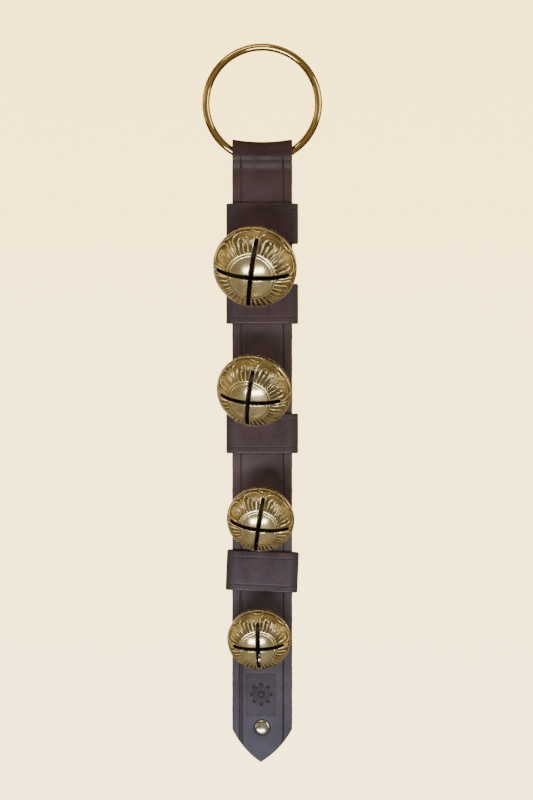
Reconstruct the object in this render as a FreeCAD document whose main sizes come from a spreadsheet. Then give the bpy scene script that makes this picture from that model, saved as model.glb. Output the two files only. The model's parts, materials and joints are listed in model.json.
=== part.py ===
import FreeCAD, Part
import math
import os

import Sketcher
from FreeCAD import Placement, Rotation, Vector

# Sleigh bells on a hanging strap, in millimetres.
# +Z is up, X is across the strap and the bells face -Y.
# The origin is the inside top of the ring, where a nail or a hook carries it.

BELLS = (1, 2, 3, 4)

DRIVING = {
    "ring_inner_diameter": 66.68,
    "ring_wire_diameter": 4.76,
    "leather_thickness": 3.2,
    "strap_width": 38.1,
    "fold_axis_drop": 66.1,
    "fold_inner_radius": 5.6,
    "fold_neck_radius": 14.0,
    "fold_length_drop": 95.0,
    "layer_spacing": 8.4,
    "tip_gap": 0.2,
    "back_bend_drop": 377.0,
    "back_bend_radius": 30.0,
    "shoulder_drop": 430.0,
    "tip_drop": 451.1,
    "tip_offset": -1.0,
    "tip_edge_radius": 55.0,
    "keeper_thickness": 2.6,
    "keeper_height": 25.2,
    "keeper_width": 45.6,
    "keeper_depth": 17.6,
    "keeper_corner_radius": 3.8,
    "keeper_joint_gap": 0.4,
    "keeper_1_drop": 109.8,
    "keeper_2_drop": 160.7,
    "keeper_3_drop": 242.8,
    "keeper_4_drop": 330.2,
    "keeper_4_turn": 2.4,
    "staple_width": 12.0,
    "staple_wire": 0.9,
    "staple_spacing": 13.0,
    "bell_wall": 2.2,
    "bell_flatness": 0.74,
    "bell_back_clearance": 8.5,
    "neck_radius": 2.5,
    "shank_hole_clearance": 0.25,
    "collar_radius": 4.6,
    "collar_height": 2.4,
    "eye_radius": 2.8,
    "eye_hole_radius": 1.35,
    "eye_thickness": 4.6,
    "pin_radius": 1.2,
    "pin_length": 16.0,
    "pin_depth": 0.6,
    "pin_end_radius": 0.4,
    "washer_radius": 9.0,
    "washer_hole_radius": 4.1,
    "washer_thickness": 0.7,
    "washer_clearance": 0.05,
    "pellet_clearance": 0.3,
    "rivet_drop": 428.8,
    "rivet_head_radius": 4.55,
    "rivet_rim": 0.5,
    "rivet_cap_height": 1.7,
    "rivet_socket_depth": 0.8,
    "rivet_post_radius": 1.6,
    "rivet_hole_radius": 1.7,
    "rivet_back_thickness": 1.0,
    "bell_1_radius": 26.3,
    "bell_2_radius": 23.7,
    "bell_3_radius": 21.2,
    "bell_4_radius": 19.95,
    "bell_1_side": 0.1,
    "bell_2_side": 2.3,
    "bell_3_side": 1.8,
    "bell_4_side": -0.7,
    "bell_1_drop": 125.2,
    "bell_2_drop": 201.4,
    "bell_3_drop": 285.2,
    "bell_4_drop": 362.0,
    "bell_1_turn": 19.4,
    "bell_2_turn": 27.1,
    "bell_3_turn": 14.1,
    "bell_4_turn": 7.3,
    "bell_1_droop": 25.4,
    "bell_2_droop": 30.2,
    "bell_3_droop": 24.6,
    "bell_4_droop": 22.2,
    "bell_1_slot_turn": -11.0,
    "bell_2_slot_turn": -18.5,
    "bell_3_slot_turn": -5.2,
    "bell_4_slot_turn": -8.3,
    "bell_1_slot_skew": 5.0,
    "bell_2_slot_skew": 5.5,
    "bell_3_slot_skew": 2.0,
    "bell_4_slot_skew": 1.0,
    "bell_1_slot_reach": 0.87,
    "bell_2_slot_reach": 0.81,
    "bell_3_slot_reach": 0.88,
    "bell_4_slot_reach": 0.79,
    "bell_1_slot_width": 2.8,
    "bell_2_slot_width": 2.7,
    "bell_3_slot_width": 2.5,
    "bell_4_slot_width": 2.4,
    "bell_1_pellet_radius": 6.35,
    "bell_2_pellet_radius": 5.55,
    "bell_3_pellet_radius": 4.76,
    "bell_4_pellet_radius": 4.76,
}

document = FreeCAD.newDocument("SleighBells")
sheet = document.addObject("Spreadsheet::Sheet", "Sizes")
for row, (name, value) in enumerate(DRIVING.items(), start=1):
    sheet.set("A%d" % row, name)
    sheet.set("B%d" % row, str(value))
    sheet.setAlias("B%d" % row, name)
document.recompute()

sub_parts = []


def size(name):
    """A driving dimension, read back from the sheet."""
    return float(sheet.get(name))


def bind(item, **formulas):
    """Tie properties of an object to formulas in the sheet's names."""
    for property_name, formula in formulas.items():
        item.setExpression(property_name, formula)


def finish_part(item, label):
    """Name a finished sub-part and note it for writing."""
    item.Label = label
    sub_parts.append(item)
    return item


# ---------------------------------------------------------------- sketches


def origin_plane(body, role):
    """The body's own origin plane, found by its role."""
    return [plane for plane in body.Origin.OriginFeatures if plane.Role == role][0]


def new_body(name):
    return document.addObject("PartDesign::Body", name)


def new_sketch(body, name, role, offset=0.0):
    """A sketch on one of the body's origin planes, moved along its normal."""
    sketch = body.newObject("Sketcher::SketchObject", name)
    sketch.AttachmentSupport = [(origin_plane(body, role), "")]
    sketch.MapMode = "FlatFace"
    sketch.AttachmentOffset = Placement(Vector(0, 0, offset), Rotation())
    return sketch


def line(start, end):
    return Part.LineSegment(Vector(*start, 0), Vector(*end, 0))


def arc(centre, radius, start_angle, end_angle):
    """A counterclockwise arc between two angles in degrees."""
    circle = Part.Circle(Vector(*centre, 0), Vector(0, 0, 1), radius)
    return Part.ArcOfCircle(circle, math.radians(start_angle), math.radians(end_angle))


def on_circle(centre, radius, angle):
    """The point of a circle at an angle in degrees."""
    turn = math.radians(angle)
    return (centre[0] + radius * math.cos(turn), centre[1] + radius * math.sin(turn))


def rule(sketch, *definition, formula=None):
    """Add a constraint, and tie its value to a formula if one is given."""
    index = sketch.addConstraint(Sketcher.Constraint(*definition))
    if formula:
        sketch.renameConstraint(index, "rule_%d" % index)
        sketch.setExpression("Constraints.rule_%d" % index, formula)
    return index


def point_place(sketch, piece, end, across, up):
    """Fix a point's distances from the sketch's origin; None leaves one free."""
    point = sketch.getPoint(piece, end)
    if across is not None:
        rule(sketch, "DistanceX", -1, 1, piece, end, point.x, formula=across)
    if up is not None:
        rule(sketch, "DistanceY", -1, 1, piece, end, point.y, formula=up)


def round_hole(sketch, centre, radius, across, up, radius_formula):
    """A circle whose centre and radius are tied to the sheet."""
    circle = sketch.addGeometry(Part.Circle(Vector(*centre, 0), Vector(0, 0, 1), radius))
    point_place(sketch, circle, 3, across, up)
    rule(sketch, "Radius", circle, radius, formula=radius_formula)


def cut_pocket(body, sketch, name, side):
    """Cut a sketch through the body to one side of its plane, or to both."""
    before = body.Shape.Volume
    pocket = body.newObject("PartDesign::Pocket", name)
    pocket.Profile = sketch
    pocket.Type = "ThroughAll"
    pocket.SideType = "Symmetric" if side == "both" else "One side"
    pocket.Reversed = side == "front"
    document.recompute()
    if body.Shape.Volume > before - 1.0:
        raise RuntimeError(name + " cuts nothing")
    return pocket


def sweep_strip(body, section, path):
    """Bend a flat strip along a path."""
    pipe = body.newObject("PartDesign::AdditivePipe", "bent_strip")
    pipe.Profile = section
    pipe.Spine = (path, [])
    pipe.Mode = "Standard"
    document.recompute()
    return pipe


def strip_section(sketch, centre, half_width, half_height, centre_formulas, width, height):
    """A rectangle round a centre, the cross-section of a leather strip."""
    left, right = centre[0] - half_width, centre[0] + half_width
    low, high = centre[1] - half_height, centre[1] + half_height
    corners = [(left, low), (right, low), (right, high), (left, high)]
    for index, corner in enumerate(corners):
        sketch.addGeometry(line(corner, corners[(index + 1) % 4]))
    for index in range(4):
        rule(sketch, "Coincident", index, 2, (index + 1) % 4, 1)
        rule(sketch, "Vertical" if index % 2 else "Horizontal", index)
    across, up = centre_formulas
    point_place(sketch, 0, 1, across + " - (" + width + ") / 2", up + " - (" + height + ") / 2")
    rule(sketch, "DistanceX", 0, 1, 0, 2, right - left, formula=width)
    rule(sketch, "DistanceY", 1, 1, 1, 2, high - low, formula=height)


# ------------------------------------------------------------------- ring


def make_ring():
    """A closed ring of round brass wire, upright, its inside top at the origin."""
    ring = document.addObject("Part::Torus", "hanging_ring")
    bind(
        ring,
        Radius1="(Sizes.ring_inner_diameter + Sizes.ring_wire_diameter) / 2",
        Radius2="Sizes.ring_wire_diameter / 2",
    )
    centre = Vector(0, 0, -size("ring_inner_diameter") / 2)
    ring.Placement = Placement(centre, Rotation(Vector(1, 0, 0), 90))
    finish_part(ring, "hanging_ring")


# ------------------------------------------------------------------ strap


def strap_path(body):
    """The middle of the leather: up the front, round the ring and down the back.

    In the sketch, x is the depth (towards the back) and y is the height.
    """
    half = size("layer_spacing") / 2
    fold = size("fold_inner_radius") + size("leather_thickness") / 2
    neck = size("fold_neck_radius")
    axis = -size("fold_axis_drop")
    tip = -size("tip_drop")
    bend_top = -size("back_bend_drop")
    bend = size("back_bend_radius")
    tip_back = -half + size("leather_thickness") + size("tip_gap")
    neck_end = axis - math.sqrt((fold + neck) ** 2 - (half + neck) ** 2)
    meeting = math.degrees(math.atan2(axis - neck_end, half + neck))
    turn = math.degrees(math.acos(1 - (half - tip_back) / 2 / bend))
    bend_end = bend_top - 2 * bend * math.sin(math.radians(turn))

    path = new_sketch(body, "strap_path", "YZ_Plane")
    front = path.addGeometry(line((-half, tip), (-half, neck_end)))
    front_neck = path.addGeometry(arc((-half - neck, neck_end), neck, 0, meeting))
    fold_arc = path.addGeometry(arc((0, axis), fold, -meeting, 180 + meeting))
    back_neck = path.addGeometry(arc((half + neck, neck_end), neck, 180 - meeting, 180))
    back = path.addGeometry(line((half, neck_end), (half, bend_top)))
    bend_in = path.addGeometry(arc((half - bend, bend_top), bend, -turn, 0))
    bend_out = path.addGeometry(arc((tip_back + bend, bend_end), bend, 180 - turn, 180))
    end = path.addGeometry(line((tip_back, bend_end), (tip_back, tip)))

    rule(path, "Tangent", front, 2, front_neck, 1)
    rule(path, "Tangent", front_neck, 2, fold_arc, 2)
    rule(path, "Tangent", fold_arc, 1, back_neck, 1)
    rule(path, "Tangent", back_neck, 2, back, 1)
    rule(path, "Tangent", back, 2, bend_in, 2)
    rule(path, "Tangent", bend_in, 1, bend_out, 1)
    rule(path, "Tangent", bend_out, 2, end, 1)
    for straight in (front, back, end):
        rule(path, "Vertical", straight)
    rule(path, "PointOnObject", fold_arc, 3, -2)
    point_place(path, fold_arc, 3, None, "-Sizes.fold_axis_drop")
    rule(path, "Radius", fold_arc, fold, formula="Sizes.fold_inner_radius + Sizes.leather_thickness / 2")
    for neck_arc in (front_neck, back_neck):
        rule(path, "Radius", neck_arc, neck, formula="Sizes.fold_neck_radius")
    for bend_arc in (bend_in, bend_out):
        rule(path, "Radius", bend_arc, bend, formula="Sizes.back_bend_radius")
    point_place(path, front, 1, "-Sizes.layer_spacing / 2", "-Sizes.tip_drop")
    point_place(path, back, 2, "Sizes.layer_spacing / 2", "-Sizes.back_bend_drop")
    end_depth = "-Sizes.layer_spacing / 2 + Sizes.leather_thickness + Sizes.tip_gap"
    point_place(path, end, 2, end_depth, "-Sizes.tip_drop")
    return path


def tip_corner(body, side):
    """The leather trimmed off one side of the point, outside a slightly bowed edge."""
    edge_x = side * size("strap_width") / 2
    outer_x = edge_x * 1.4
    shoulder = (edge_x, -size("shoulder_drop"))
    tip = (size("tip_offset"), -size("tip_drop"))
    below = tip[1] - 5
    sketch = new_sketch(body, "tip_corner", "XZ_Plane")

    chord = Vector(shoulder[0] - tip[0], shoulder[1] - tip[1], 0)
    radius = size("tip_edge_radius")
    inward = Vector(-chord.y, chord.x, 0).normalize() * side
    middle = Vector((shoulder[0] + tip[0]) / 2, (shoulder[1] + tip[1]) / 2, 0)
    centre = middle + inward * math.sqrt(radius**2 - (chord.Length / 2) ** 2)
    ends = [math.degrees(math.atan2(p[1] - centre.y, p[0] - centre.x)) for p in (shoulder, tip)]
    edge = sketch.addGeometry(arc((centre.x, centre.y), radius, min(ends), max(ends)))
    at_shoulder, at_tip = (2, 1) if side > 0 else (1, 2)
    corners = [tip, (tip[0], below), (outer_x, below), (outer_x, shoulder[1]), shoulder]
    for start, stop in zip(corners, corners[1:]):
        sketch.addGeometry(line(start, stop))
    rule(sketch, "Coincident", edge, at_tip, 1, 1)
    for index in (1, 2, 3):
        rule(sketch, "Coincident", index, 2, index + 1, 1)
        rule(sketch, "Horizontal" if index == 2 else "Vertical", index)
    rule(sketch, "Coincident", 4, 2, edge, at_shoulder)
    rule(sketch, "Horizontal", 4)
    point_place(sketch, 4, 2, "%d * Sizes.strap_width / 2" % side, "-Sizes.shoulder_drop")
    point_place(sketch, 1, 1, "Sizes.tip_offset", "-Sizes.tip_drop")
    point_place(sketch, 2, 2, "%d * Sizes.strap_width * 0.7" % side, "-Sizes.tip_drop - 5")
    rule(sketch, "Radius", edge, radius, formula="Sizes.tip_edge_radius")
    return sketch


def make_strap():
    """One leather strap, folded over the ring, with holes for shanks and rivet."""
    body = new_body("strap")
    half = size("layer_spacing") / 2
    section = new_sketch(body, "strap_section", "XY_Plane", -size("tip_drop"))
    strip_section(
        section,
        (0, -half),
        size("strap_width") / 2,
        size("leather_thickness") / 2,
        ("0", "-Sizes.layer_spacing / 2"),
        "Sizes.strap_width",
        "Sizes.leather_thickness",
    )
    bind(section, **{".AttachmentOffset.Base.z": "-Sizes.tip_drop"})
    sweep_strip(body, section, strap_path(body))
    for side in (-1, 1):
        cut_pocket(body, tip_corner(body, side), "tip_trim", "both")

    rivet_hole = new_sketch(body, "rivet_hole", "XZ_Plane")
    place = (0, -size("rivet_drop"))
    radius = size("rivet_hole_radius")
    round_hole(rivet_hole, place, radius, None, "-Sizes.rivet_drop", "Sizes.rivet_hole_radius")
    rule(rivet_hole, "PointOnObject", 0, 3, -2)
    cut_pocket(body, rivet_hole, "rivet_hole_cut", "both")

    shank_holes = new_sketch(body, "shank_holes", "XZ_Plane")
    outer_reach = half + size("leather_thickness") / 2 - size("pin_depth")
    for number in BELLS:
        bell = "bell_%d_" % number
        droop = math.radians(size(bell + "droop"))
        radius = outer_reach * math.tan(droop) + size("neck_radius") / math.cos(droop)
        radius += size("shank_hole_clearance")
        reach = "((Sizes.layer_spacing + Sizes.leather_thickness) / 2 - Sizes.pin_depth)"
        lean = "(Sizes." + bell + "droop)"
        formula = "%s * tan%s + Sizes.neck_radius / cos%s" % (reach, lean, lean)
        formula += " + Sizes.shank_hole_clearance"
        centre = (size(bell + "side"), -size(bell + "drop"))
        round_hole(shank_holes, centre, radius, "Sizes." + bell + "side", "-Sizes." + bell + "drop", formula)
    cut_pocket(body, shank_holes, "shank_hole_cut", "front")
    divide_strap(body)


def divide_strap(body):
    """The one strip of leather as three lengths that meet: front, fold and back."""
    side = "Sizes.strap_width"
    parting = "-Sizes.layer_spacing / 2 + (Sizes.leather_thickness + Sizes.tip_gap) / 2"
    foot_below = "-Sizes.tip_drop - 1"
    layer_length = "Sizes.tip_drop + 1 - Sizes.fold_length_drop"
    lengths = {
        "strap_fold": ("-" + side, "-Sizes.fold_length_drop", "2 * " + side, "2 * " + side),
        "strap_front": ("%s - %s" % (parting, side), foot_below, side, layer_length),
        "strap_back": (parting, foot_below, side, layer_length),
    }
    for name, (depth, foot, deep, tall) in lengths.items():
        room = document.addObject("Part::Box", name + "_room")
        bind(room, Length="2 * " + side, Width=deep, Height=tall)
        bind(
            room,
            **{
                ".Placement.Base.x": "-" + side,
                ".Placement.Base.y": depth,
                ".Placement.Base.z": foot,
            },
        )
        length = document.addObject("Part::Common", name)
        length.Base = body
        length.Tool = room
        finish_part(length, name)


# ---------------------------------------------------------------- keepers


def keeper_path(body):
    """The middle of the leather of a keeper, from above: round the strap to a butt joint.

    In the sketch, x is across the strap and y is the depth (towards the back).
    """
    side = (size("keeper_width") - size("keeper_thickness")) / 2
    back = (size("keeper_depth") - size("keeper_thickness")) / 2
    corner = size("keeper_corner_radius") - size("keeper_thickness") / 2
    gap = size("keeper_joint_gap") / 2
    path = new_sketch(body, "keeper_path", "XY_Plane")
    in_x, in_y = side - corner, back - corner
    path.addGeometry(line((gap, back), (in_x, back)))
    path.addGeometry(arc((in_x, in_y), corner, 0, 90))
    path.addGeometry(line((side, in_y), (side, -in_y)))
    path.addGeometry(arc((in_x, -in_y), corner, -90, 0))
    path.addGeometry(line((in_x, -back), (-in_x, -back)))
    path.addGeometry(arc((-in_x, -in_y), corner, 180, 270))
    path.addGeometry(line((-side, -in_y), (-side, in_y)))
    path.addGeometry(arc((-in_x, in_y), corner, 90, 180))
    path.addGeometry(line((-in_x, back), (-gap, back)))
    for index in range(0, 8, 2):
        rule(path, "Tangent", index, 2, index + 1, 2)
        rule(path, "Tangent", index + 1, 1, index + 2, 1)
    for index in range(0, 9, 2):
        rule(path, "Vertical" if index % 4 == 2 else "Horizontal", index)
    for index in (1, 3, 5, 7):
        radius = "Sizes.keeper_corner_radius - Sizes.keeper_thickness / 2"
        rule(path, "Radius", index, corner, formula=radius)
    half_width = "(Sizes.keeper_width - Sizes.keeper_thickness) / 2"
    half_depth = "(Sizes.keeper_depth - Sizes.keeper_thickness) / 2"
    point_place(path, 0, 1, "Sizes.keeper_joint_gap / 2", half_depth)
    point_place(path, 8, 2, "-Sizes.keeper_joint_gap / 2", half_depth)
    point_place(path, 2, 1, half_width, None)
    point_place(path, 6, 1, "-" + half_width, None)
    point_place(path, 4, 1, None, "-" + half_depth)
    return path


def staple_shape(number, copy):
    """A wire staple across the butt joint: a crown let into the back and two legs."""
    name = "staple_%d_%d_" % (number, copy)
    sign = 1 if copy else -1
    crown = document.addObject("Part::Box", name + "crown")
    bind(
        crown,
        Length="Sizes.staple_width",
        Width="Sizes.staple_wire",
        Height="Sizes.staple_wire",
        **{
            ".Placement.Base.x": "-Sizes.staple_width / 2",
            ".Placement.Base.y": "Sizes.keeper_depth / 2 - Sizes.staple_wire",
            ".Placement.Base.z": "%d * Sizes.staple_spacing / 2 - Sizes.staple_wire / 2" % sign,
        },
    )
    pieces = [crown]
    for side in ("left", "right"):
        leg = document.addObject("Part::Box", name + side)
        start = "-Sizes.staple_width / 2" if side == "left" else "Sizes.staple_width / 2 - Sizes.staple_wire"
        bind(
            leg,
            Length="Sizes.staple_wire",
            Width="Sizes.keeper_thickness",
            Height="Sizes.staple_wire",
            **{
                ".Placement.Base.x": start,
                ".Placement.Base.y": "Sizes.keeper_depth / 2 - Sizes.keeper_thickness",
                ".Placement.Base.z": "%d * Sizes.staple_spacing / 2 - Sizes.staple_wire / 2" % sign,
            },
        )
        pieces.append(leg)
    staple = document.addObject("Part::MultiFuse", name + "whole")
    staple.Shapes = pieces
    staple.Refine = True
    return staple


def make_keeper(number):
    """A leather loop that slides on both layers of the strap, and its two staples."""
    body = new_body("keeper_%d_leather" % number)
    path = keeper_path(body)
    section = new_sketch(body, "keeper_section", "YZ_Plane", size("keeper_joint_gap") / 2)
    middle = (size("keeper_depth") - size("keeper_thickness")) / 2
    strip_section(
        section,
        (middle, 0),
        size("keeper_thickness") / 2,
        size("keeper_height") / 2,
        ("(Sizes.keeper_depth - Sizes.keeper_thickness) / 2", "0"),
        "Sizes.keeper_thickness",
        "Sizes.keeper_height",
    )
    bind(section, **{".AttachmentOffset.Base.z": "Sizes.keeper_joint_gap / 2"})
    sweep_strip(body, section, path)

    staples = document.addObject("Part::Compound", "staple_pair_%d" % number)
    staples.Links = [staple_shape(number, copy) for copy in (0, 1)]
    keeper = document.addObject("Part::Cut", "keeper_%d" % number)
    keeper.Base = body
    keeper.Tool = staples

    turn = size("keeper_4_turn") if number == 4 else 0.0
    place = Placement(Vector(0, 0, -size("keeper_%d_drop" % number)), Rotation(Vector(0, 1, 0), turn))
    keeper.Placement = place
    finish_part(keeper, "keeper_%d" % number)
    placed = document.addObject("Part::Compound", "keeper_staples_%d" % number)
    placed.Links = [staples]
    placed.Placement = place
    finish_part(placed, "keeper_staples_%d" % number)


# ------------------------------------------------------------------ bells


def bell_place(number):
    """Where the eye of a bell is, with the bell turned and drooping on its pin.

    In a bell's own axes the pin is X and the middle of the face is at +Z.
    """
    bell = "bell_%d_" % number
    eye = Vector(size(bell + "side"), -size("pin_depth"), -size(bell + "drop"))
    turn = Rotation(Vector(0, 1, 0), size(bell + "turn"))
    droop = Rotation(Vector(1, 0, 0), 90 + size(bell + "droop"))
    return Placement(eye, turn * droop)


def bell_radii(number):
    """The bell's half width and half depth."""
    radius = size("bell_%d_radius" % number)
    return radius, radius * size("bell_flatness")


def shank_formula(number):
    """From the pin to the middle of the bell, so that the drooping bell clears the keepers."""
    bell = "Sizes.bell_%d_" % number
    terms = {"a": bell + "radius", "d": bell + "droop"}
    back = "sqrt((%(a)s * Sizes.bell_flatness * cos(%(d)s)) ^ 2 + (%(a)s * sin(%(d)s)) ^ 2)" % terms
    return "(%s + Sizes.bell_back_clearance) / cos(%s)" % (back, terms["d"])


def shank_length(number):
    radius, depth = bell_radii(number)
    droop = math.radians(size("bell_%d_droop" % number))
    back = math.hypot(depth * math.cos(droop), radius * math.sin(droop))
    return (back + size("bell_back_clearance")) / math.cos(droop)


def bell_shell_solid(number, name, wall):
    """A flattened ball: the outside of a bell, or its hollow when a wall is taken off."""
    solid = document.addObject("Part::Ellipsoid", name)
    radius = "Sizes.bell_%d_radius" % number
    bind(
        solid,
        Radius1="%s * Sizes.bell_flatness - %s" % (radius, wall),
        Radius2="%s - %s" % (radius, wall),
        **{".Placement.Base.z": shank_formula(number)},
    )
    return solid


def slot_cutters(number, crossing):
    """A straight slot with round ends; the first is skewed, as hand-filed slots are."""
    bell = "Sizes.bell_%d_" % number
    name = "slot_%d_%d_" % (number, crossing)
    turn = 90 * crossing - size("bell_%d_slot_turn" % number)
    if crossing == 0:
        turn += size("bell_%d_slot_skew" % number)
    run = "(%sradius * %sslot_reach - %sslot_width / 2)" % (bell, bell, bell)
    shank = shank_formula(number)
    bar = document.addObject("Part::Box", name + "bar")
    bind(bar, Length="2 * " + run, Width=bell + "slot_width", Height=bell + "radius")
    along = math.radians(turn)
    half = size("bell_%d_slot_width" % number) / 2
    reach = size("bell_%d_radius" % number) * size("bell_%d_slot_reach" % number) - half
    corner = Vector(
        -reach * math.cos(along) + half * math.sin(along),
        -reach * math.sin(along) - half * math.cos(along),
        shank_length(number),
    )
    bar.Placement = Placement(corner, Rotation(Vector(0, 0, 1), turn))
    cutters = [bar]
    for sign in (-1, 1):
        end = document.addObject("Part::Cylinder", name + "end")
        bind(end, Radius=bell + "slot_width / 2", Height=bell + "radius")
        bind(
            end,
            **{
                ".Placement.Base.x": "%d * %s * cos(%f)" % (sign, run, turn),
                ".Placement.Base.y": "%d * %s * sin(%f)" % (sign, run, turn),
                ".Placement.Base.z": shank,
            },
        )
        cutters.append(end)
    return cutters


def make_bell(number):
    """A cast petal bell with slots across its face, and the shank and eye on its back."""
    bell = "Sizes.bell_%d_" % number
    shank = shank_formula(number)
    back = "%s - %sradius * Sizes.bell_flatness" % (shank, bell)
    outside = bell_shell_solid(number, "bell_outside", "0")
    inside = bell_shell_solid(number, "bell_hollow", "Sizes.bell_wall")
    neck = document.addObject("Part::Cylinder", "neck")
    bind(neck, Radius="Sizes.neck_radius", Height=back + " + Sizes.bell_wall / 2")
    collar = document.addObject("Part::Cone", "collar")
    bind(
        collar,
        Radius1="Sizes.neck_radius",
        Radius2="Sizes.collar_radius",
        Height="Sizes.collar_height",
        **{".Placement.Base.z": back + " + Sizes.bell_wall / 2 - Sizes.collar_height"},
    )
    eye = document.addObject("Part::Cylinder", "eye")
    bind(eye, Radius="Sizes.eye_radius", Height="Sizes.eye_thickness")
    eye_hole = document.addObject("Part::Cylinder", "eye_hole")
    bind(eye_hole, Radius="Sizes.eye_hole_radius", Height="Sizes.eye_thickness + 2")
    along_pin = Rotation(Vector(0, 1, 0), 90)
    eye.Placement = Placement(Vector(-size("eye_thickness") / 2, 0, 0), along_pin)
    eye_hole.Placement = Placement(Vector(-size("eye_thickness") / 2 - 1, 0, 0), along_pin)

    cutter = document.addObject("Part::MultiFuse", "bell_cutter")
    cutter.Shapes = [inside, *slot_cutters(number, 0), *slot_cutters(number, 1)]
    shell = document.addObject("Part::Cut", "bell_%d" % number)
    shell.Base = outside
    shell.Tool = cutter
    shell.Placement = bell_place(number)
    finish_part(shell, "bell_%d" % number)

    stem = document.addObject("Part::MultiFuse", "stem")
    stem.Shapes = [neck, collar, eye]
    away = document.addObject("Part::MultiFuse", "stem_cutter")
    away.Shapes = [outside, eye_hole]
    shank_solid = document.addObject("Part::Cut", "bell_shank_%d" % number)
    shank_solid.Base = stem
    shank_solid.Tool = away
    shank_solid.Placement = bell_place(number)
    finish_part(shank_solid, "bell_shank_%d" % number)


def make_pellet(number):
    """A loose steel ball, lying at the lowest place inside its bell."""
    bell = "bell_%d_" % number
    radius, depth = bell_radii(number)
    shrink = size("bell_wall") + size(bell + "pellet_radius") + size("pellet_clearance")
    across, along = radius - shrink, depth - shrink
    place = bell_place(number)
    down = place.Rotation.inverted().multVec(Vector(0, 0, -1))
    reach = math.sqrt(across**2 * (down.x**2 + down.y**2) + along**2 * down.z**2)
    low = Vector(across**2 * down.x, across**2 * down.y, along**2 * down.z) / reach
    ball = document.addObject("Part::Sphere", "pellet_%d" % number)
    bind(ball, Radius="Sizes." + bell + "pellet_radius")
    ball.Placement = Placement(place.multVec(low + Vector(0, 0, shank_length(number))), Rotation())
    finish_part(ball, "pellet_%d" % number)


def make_swivel(number):
    """The pin through the eye of a bell and the washer between it and the leather."""
    bell = "bell_%d_" % number
    turn = Rotation(Vector(0, 1, 0), size(bell + "turn"))
    eye = Vector(size(bell + "side"), -size("pin_depth"), -size(bell + "drop"))
    rod = document.addObject("Part::Cylinder", "pin_rod")
    bind(rod, Radius="Sizes.pin_radius", Height="Sizes.pin_length")
    pin = document.addObject("Part::Fillet", "shank_pin_%d" % number)
    pin.Base = rod
    document.recompute()
    rims = [index for index, edge in enumerate(rod.Shape.Edges, start=1) if edge.Closed]
    rounding = size("pin_end_radius")
    pin.Edges = [(index, rounding, rounding) for index in rims]
    along_pin = turn * Rotation(Vector(0, 1, 0), 90)
    half_length = turn.multVec(Vector(-size("pin_length") / 2, 0, 0))
    pin.Placement = Placement(eye + half_length, along_pin)
    finish_part(pin, "shank_pin_%d" % number)

    disc = document.addObject("Part::Cylinder", "washer_disc")
    bind(disc, Radius="Sizes.washer_radius", Height="Sizes.washer_thickness")
    hole = document.addObject("Part::Cylinder", "washer_hole")
    bind(hole, Radius="Sizes.washer_hole_radius", Height="Sizes.washer_thickness")
    washer = document.addObject("Part::Cut", "shank_washer_%d" % number)
    washer.Base = disc
    washer.Tool = hole
    behind = -size("pin_depth") - size("pin_radius") - size("washer_clearance")
    washer.Placement = Placement(Vector(eye.x, behind, eye.z), turn * Rotation(Vector(1, 0, 0), 90))
    finish_part(washer, "shank_washer_%d" % number)


# ------------------------------------------------------------------ rivet


def make_rivet():
    """The domed cap on the front of the tip, and the post with its head behind."""
    front = -(size("layer_spacing") + size("leather_thickness")) / 2
    back = front + 2 * size("leather_thickness") + size("tip_gap")
    head = size("rivet_head_radius")
    rim = size("rivet_rim")
    height = size("rivet_cap_height")
    socket = size("rivet_socket_depth")
    hole = size("rivet_hole_radius")
    rise = height - rim
    dome = (head**2 + rise**2) / (2 * rise)
    rim_angle = math.degrees(math.asin(head / dome))

    body = new_body("rivet_cap")
    profile = new_sketch(body, "rivet_cap_profile", "YZ_Plane")
    corners = [(-height, 0), (-socket, 0), (-socket, hole), (0, hole), (0, head), (-rim, head)]
    for start, stop in zip(corners, corners[1:]):
        profile.addGeometry(line(start, stop))
    profile.addGeometry(arc((dome - height, 0), dome, 180 - rim_angle, 180))
    for index in range(5):
        rule(profile, "Coincident", index, 2, index + 1, 1)
        rule(profile, "Vertical" if index in (1, 3) else "Horizontal", index)
    rule(profile, "Coincident", 5, 2, 0, 1)
    rule(profile, "PointOnObject", 5, 3, -1)
    rule(profile, "PointOnObject", 0, 1, -1)
    point_place(profile, 0, 1, "-Sizes.rivet_cap_height", None)
    point_place(profile, 1, 2, "-Sizes.rivet_socket_depth", "Sizes.rivet_hole_radius")
    rule(profile, "PointOnObject", 3, 1, -2)
    point_place(profile, 4, 2, "-Sizes.rivet_rim", "Sizes.rivet_head_radius")
    dome_body = body.newObject("PartDesign::Revolution", "rivet_dome")
    dome_body.Profile = profile
    dome_body.ReferenceAxis = (profile, ["H_Axis"])
    dome_body.Angle = 360
    document.recompute()
    body.Placement = Placement(Vector(0, front, -size("rivet_drop")), Rotation())
    finish_part(body, "tip_rivet_cap")

    disc = document.addObject("Part::Cylinder", "rivet_back_head")
    bind(disc, Radius="Sizes.rivet_head_radius", Height="Sizes.rivet_back_thickness")
    post = document.addObject("Part::Cylinder", "rivet_shaft")
    reach = "2 * Sizes.leather_thickness + Sizes.tip_gap + Sizes.rivet_socket_depth"
    bind(
        post,
        Radius="Sizes.rivet_post_radius",
        Height=reach + " + Sizes.rivet_back_thickness - 0.05",
    )
    whole = document.addObject("Part::MultiFuse", "tip_rivet_post")
    whole.Shapes = [disc, post]
    far_side = Vector(0, back + size("rivet_back_thickness"), -size("rivet_drop"))
    whole.Placement = Placement(far_side, Rotation(Vector(1, 0, 0), 90))
    finish_part(whole, "tip_rivet_post")


# ------------------------------------------------------------ all together

make_ring()
make_strap()
for bell_number in BELLS:
    make_keeper(bell_number)
for bell_number in BELLS:
    make_bell(bell_number)
    make_pellet(bell_number)
    make_swivel(bell_number)
make_rivet()
document.recompute()

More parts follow.
